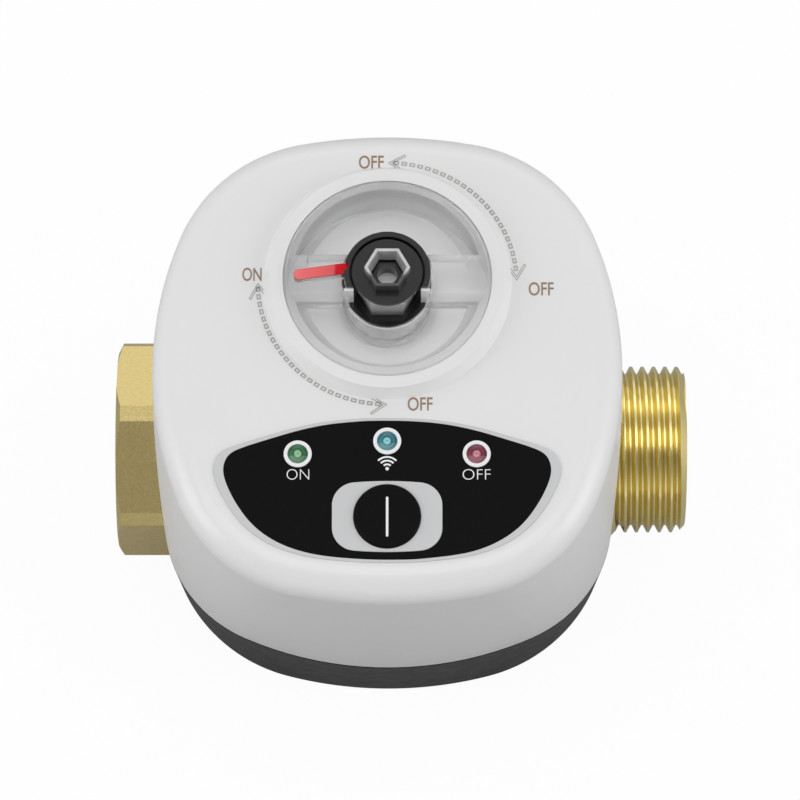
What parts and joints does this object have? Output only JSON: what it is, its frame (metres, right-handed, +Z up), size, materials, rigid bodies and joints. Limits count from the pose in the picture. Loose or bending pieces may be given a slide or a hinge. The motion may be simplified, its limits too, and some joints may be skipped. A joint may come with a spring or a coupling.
{
  "type": "smart water valve",
  "caption": "Motor-driven ball valve with clear hand knob, indicator panel, push button, brass female inlet and male outlet threads.",
  "frame": {"origin": "where the valve stem's axis meets the underside of the base", "axes": "+X along the pipe towards the outlet thread, -Y the front with the panel, +Z up along the stem"},
  "size_m": [0.0899, 0.0784, 0.1002],
  "materials": {
    "white_shell": "satin white",
    "dark_base": "fine satin, near black",
    "brass": "machined",
    "ball_chrome": "polished",
    "white_polymer": "natural white",
    "steel": "plain",
    "pinion_brass": "cut",
    "bright_metal": "bright",
    "black_rubber": "moulded",
    "pale_silicone": "moulded",
    "clear_plastic": "clear, polished",
    "red_plastic": "gloss red",
    "black_plastic": "satin black",
    "grey_plastic": "light grey",
    "green_lens": "lens",
    "blue_lens": "lens",
    "red_lens": "lens",
    "lamp_chip": "lamp",
    "green_board": "solder mask",
    "can_aluminium": "can"
  },
  "bodies": {
    "housing": {"top_cover": "white_shell", "base_housing": "dark_base", "valve_body": "brass", "end_connector": "brass", "gland_nut": "brass", "seat_rings": "white_polymer", "thrust_washer": "white_polymer", "packing_rings": "white_polymer", "led_rings": "white_polymer", "shaft_bushings": "white_polymer", "pillars": "steel", "gear_plate_lower": "steel", "gear_plate_upper": "steel", "plate_spacers": "steel", "gear_axles": "steel", "drive_motor": "steel", "housing_screws": "steel", "plate_screws": "steel", "board_screws": "steel", "jack_nut": "steel", "radio_module": "steel", "parting_gasket": "black_rubber", "pipe_seals": "black_rubber", "shaft_seal": "pale_silicone", "panel_overlay": "black_plastic", "tact_switch": "black_plastic", "power_jack": "black_plastic", "limit_sensors": "black_plastic", "board_connector": "black_plastic", "panel_border": "grey_plastic", "button_pad": "grey_plastic", "led_on": "green_lens", "led_signal": "blue_lens", "led_off": "red_lens", "led_chips": "lamp_chip", "control_board": "green_board", "capacitors": "can_aluminium"},
    "output": {"output_gear": "white_polymer", "position_magnet": "steel"},
    "drive": {"drive_shaft": "steel", "clutch_ring": "black_plastic", "clutch_spring": "steel", "clutch_collar": "steel", "drive_hub": "black_plastic", "hub_ring": "bright_metal", "manual_knob": "clear_plastic", "pointer_bar": "red_plastic", "hub_tabs": "bright_metal", "hub_nut": "bright_metal", "hub_cap": "black_plastic", "hex_socket": "bright_metal", "stem": "steel", "stem_orings": "black_rubber", "ball": "ball_chrome"},
    "idler_a": {"idler_gear_2": "white_polymer"},
    "idler_b": {"idler_gear_1": "white_polymer"},
    "pinion": {"motor_pinion": "pinion_brass"},
    "button": {"power_button": "black_plastic", "switch_plunger": "black_plastic"}
  },
  "joints": [
    {"name": "output_turn", "type": "hinge", "parent": "housing", "child": "output", "pos_m": [0, 0, 0.07], "axis": [0, 0, 1], "range_deg": [-90, 0]},
    {"name": "knob_turn", "type": "hinge", "parent": "output", "child": "drive", "pos_m": [0, 0, 0.07], "axis": [0, 0, 1], "range_deg": [-90, 90]},
    {"name": "idler_2_spin", "type": "hinge", "parent": "housing", "child": "idler_a", "pos_m": [-0.01485, -0.01485, 0.067], "axis": [0, 0, 1], "range_deg": [0, 360]},
    {"name": "idler_1_spin", "type": "hinge", "parent": "housing", "child": "idler_b", "pos_m": [-0.00444, -0.02726, 0.062], "axis": [0, 0, 1], "range_deg": [-1260, 0]},
    {"name": "pinion_spin", "type": "hinge", "parent": "housing", "child": "pinion", "pos_m": [0.01079, -0.02172, 0.06], "axis": [0, 0, 1], "range_deg": [0, 4410]},
    {"name": "button_press", "type": "slide", "parent": "housing", "child": "button", "axis": [0, 0, -1], "range_m": [0, 0.0004], "stiffness_N_per_m": 800}
  ],
  "couplings": [
    {"joint": "idler_2_spin", "follows": "output_turn", "ratio": -4},
    {"joint": "idler_1_spin", "follows": "output_turn", "ratio": 14},
    {"joint": "pinion_spin", "follows": "output_turn", "ratio": -49}
  ]
}
